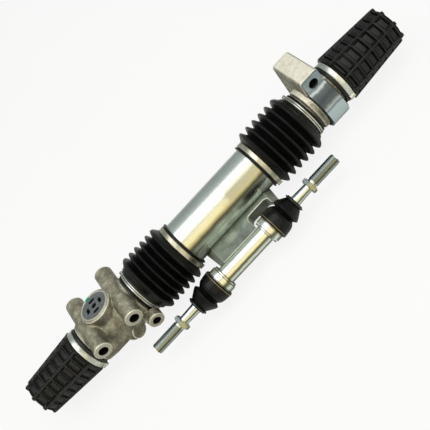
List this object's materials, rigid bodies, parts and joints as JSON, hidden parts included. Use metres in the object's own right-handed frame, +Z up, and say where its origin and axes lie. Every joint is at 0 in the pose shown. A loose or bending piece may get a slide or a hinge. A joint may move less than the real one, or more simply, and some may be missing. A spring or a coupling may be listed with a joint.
{
  "type": "steering rack",
  "caption": "Manual rack and pinion steering gear with a centre take-off: sleeve, bellows, and a side carrier with ball-jointed rod ends.",
  "frame": {"origin": "axis of the inner left mounting hole, halfway through its boss", "axes": "+X along the rack to the right end, +Y towards the panel that the gear bolts to, +Z up"},
  "size_m": [0.6065, 0.1611, 0.0927],
  "materials": {
    "cast_alloy": "cast, satin",
    "machined_steel": "machined",
    "ground_steel": "ground",
    "zinc": "zinc plated",
    "plated_band": "bright",
    "brass_wire": "satin",
    "black_rubber": "matte",
    "grey_plug": "satin",
    "bearing_plastic": "satin",
    "bronze": "machined",
    "bracket_steel": "pressed"
  },
  "bodies": {
    "housing": {"pinion_housing": "cast_alloy", "support_housing": "cast_alloy", "guide_tube": "machined_steel", "bearing_outer_ring": "ground_steel", "bearing_balls": "ground_steel", "pinion_front_bush": "bronze", "pinion_seal": "black_rubber", "seal_retainer": "machined_steel", "rack_bush": "bearing_plastic", "yoke_plunger": "machined_steel", "yoke_spring": "machined_steel", "yoke_plug": "grey_plug", "mounting_strap": "zinc", "clamp_rubber": "black_rubber", "left_bellows": "black_rubber", "right_bellows": "black_rubber", "left_wire_clamp": "plated_band", "right_wire_clamp": "plated_band", "left_end_boot": "black_rubber", "right_end_boot": "black_rubber", "left_boot_band": "plated_band", "right_boot_band": "plated_band"},
    "rack": {"rack_bar": "ground_steel", "drive_block": "machined_steel", "drive_bolts": "machined_steel", "sliding_sleeve": "zinc", "left_guide_bush": "bearing_plastic", "right_guide_bush": "bearing_plastic", "left_sleeve_band": "plated_band", "right_sleeve_band": "plated_band", "carrier_bracket": "bracket_steel", "rod_carrier": "machined_steel", "left_ball_seat": "bearing_plastic", "right_ball_seat": "bearing_plastic", "left_base_clip": "brass_wire", "right_base_clip": "brass_wire"},
    "pinion": {"pinion_shaft": "machined_steel", "bearing_inner_ring": "ground_steel"},
    "left_boot": {"left_dust_boot": "black_rubber"},
    "left_clip": {"left_neck_clip": "brass_wire"},
    "left_stud": {"left_ball_stud": "machined_steel"},
    "right_boot": {"right_dust_boot": "black_rubber"},
    "right_clip": {"right_neck_clip": "brass_wire"},
    "right_stud": {"right_ball_stud": "machined_steel"}
  },
  "joints": [
    {"name": "rack_slide", "type": "slide", "parent": "housing", "child": "rack", "axis": [1, 0, 0], "range_m": [-0.038, 0.038], "deforming": ["left_bellows", "right_bellows"]},
    {"name": "pinion_spin", "type": "hinge", "parent": "housing", "child": "pinion", "pos_m": [-0.0275, -0.00196, -0.03898], "axis": [-0.4226, 0.8996, -0.1105], "range_deg": [-247, 247]},
    {"name": "left_rod_swing", "type": "hinge", "parent": "rack", "child": "left_boot", "pos_m": [0.092, -0.07, -0.0385], "axis": [0, 0, 1], "range_deg": [-8, 12], "deforming": ["left_dust_boot"]},
    {"name": "left_rod_tilt", "type": "hinge", "parent": "left_boot", "child": "left_clip", "pos_m": [0.092, -0.07, -0.0385], "axis": [0, 1, 0], "range_deg": [-15, 15]},
    {"name": "left_rod_spin", "type": "hinge", "parent": "left_clip", "child": "left_stud", "pos_m": [0.092, -0.07, -0.0385], "axis": [1, 0, 0], "continuous": true},
    {"name": "right_rod_swing", "type": "hinge", "parent": "rack", "child": "right_boot", "pos_m": [0.187, -0.07, -0.0385], "axis": [0, 0, 1], "range_deg": [-12, 8], "deforming": ["right_dust_boot"]},
    {"name": "right_rod_tilt", "type": "hinge", "parent": "right_boot", "child": "right_clip", "pos_m": [0.187, -0.07, -0.0385], "axis": [0, 1, 0], "range_deg": [-15, 15]},
    {"name": "right_rod_spin", "type": "hinge", "parent": "right_clip", "child": "right_stud", "pos_m": [0.187, -0.07, -0.0385], "axis": [1, 0, 0], "continuous": true}
  ],
  "couplings": [
    {"joint": "pinion_spin", "follows": "rack_slide", "rad_per_m": 113.29}
  ]
}
